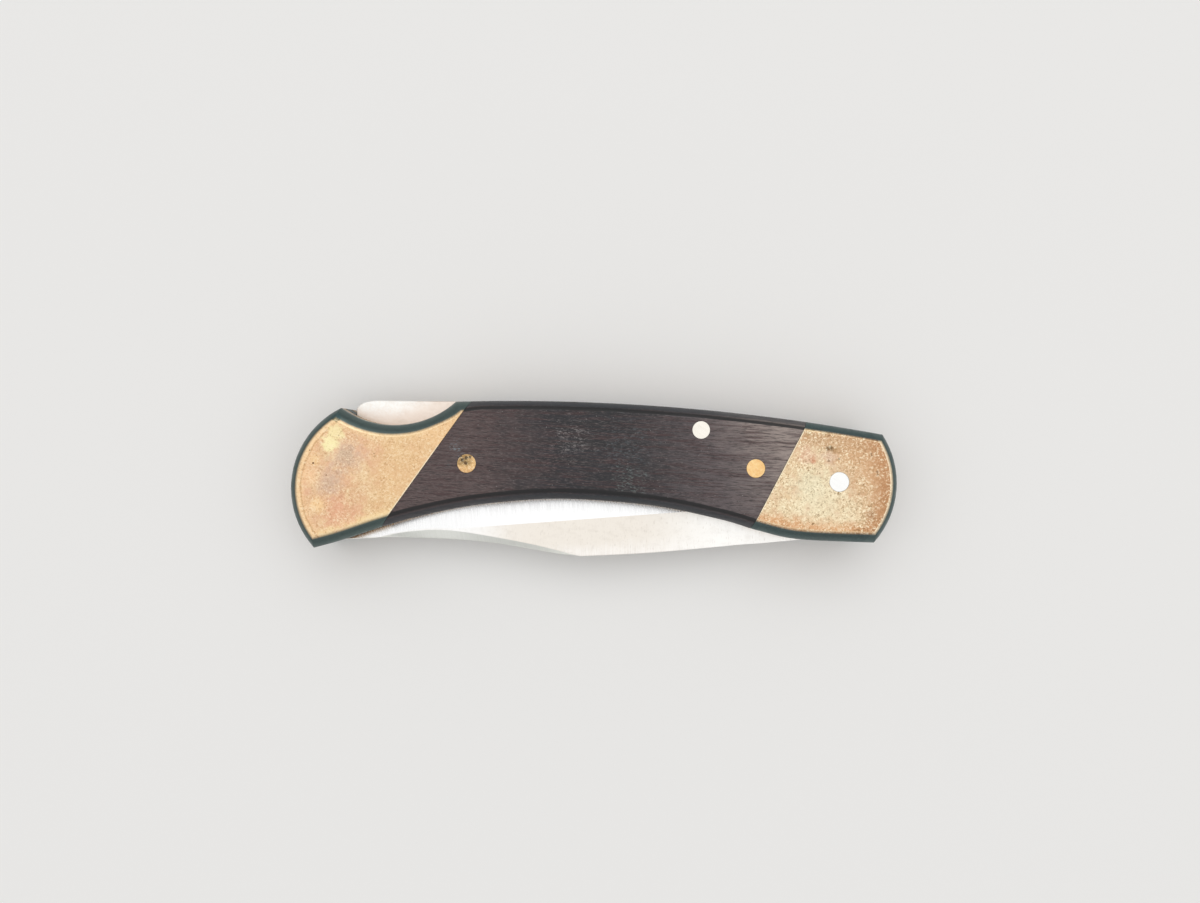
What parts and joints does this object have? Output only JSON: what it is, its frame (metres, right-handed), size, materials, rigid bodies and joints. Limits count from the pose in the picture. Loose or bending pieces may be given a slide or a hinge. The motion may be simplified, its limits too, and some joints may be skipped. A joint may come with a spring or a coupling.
{
  "type": "folding pocket knife",
  "caption": "Lock-back folding knife with a clip-point blade, wood scales, brass bolsters and liners, a rocking lock bar and a leaf back spring.",
  "frame": {"origin": "middle of the closed knife's outline, on the outer face of the lower scale and bolsters", "axes": "+X along the handle towards the blade pivot, +Y to the back of the handle with the lock bar, +Z through the handle's thickness"},
  "size_m": [0.1248, 0.0329, 0.0164],
  "materials": {
    "wood": "dark oiled hardwood, worn smooth",
    "bolster_brass": "polished brass with a brown hand-worn patina",
    "liner_brass": "rolled brass sheet, tarnished",
    "pin_brass": "brass pin ground flush",
    "pin_steel": "steel pin ground flush",
    "blade_steel": "satin stainless steel, hollow ground",
    "bar_steel": "tumbled stainless steel",
    "spring_steel": "hardened spring steel"
  },
  "bodies": {
    "handle": {"upper_liner": "liner_brass", "lower_liner": "liner_brass", "upper_scale": "wood", "lower_scale": "wood", "upper_front_bolster": "bolster_brass", "lower_front_bolster": "bolster_brass", "upper_rear_bolster": "bolster_brass", "lower_rear_bolster": "bolster_brass", "butt_spacer": "spring_steel", "back_spring": "spring_steel", "blade_pivot_pin": "pin_steel", "lock_bar_pin": "pin_steel", "butt_pin_upper": "bolster_brass", "butt_pin_lower": "bolster_brass", "upper_front_scale_pin": "pin_brass", "upper_rear_scale_pin": "pin_brass", "lower_front_scale_pin": "pin_brass", "lower_rear_scale_pin": "pin_brass"},
    "blade": {"blade": "blade_steel"},
    "lock_bar": {"lock_bar": "bar_steel"}
  },
  "joints": [
    {"name": "blade_pivot", "type": "hinge", "parent": "handle", "child": "blade", "pos_m": [0.05, -0.00057, 0.0082], "axis": [0, 0, 1], "range_deg": [0, 176]},
    {"name": "lock_bar_rock", "type": "hinge", "parent": "handle", "child": "lock_bar", "pos_m": [0.02185, 0.01002, 0.0082], "axis": [0, 0, 1], "range_deg": [-1.5, 3], "stiffness_Nm_per_rad": 25, "deforming": ["back_spring"]}
  ]
}
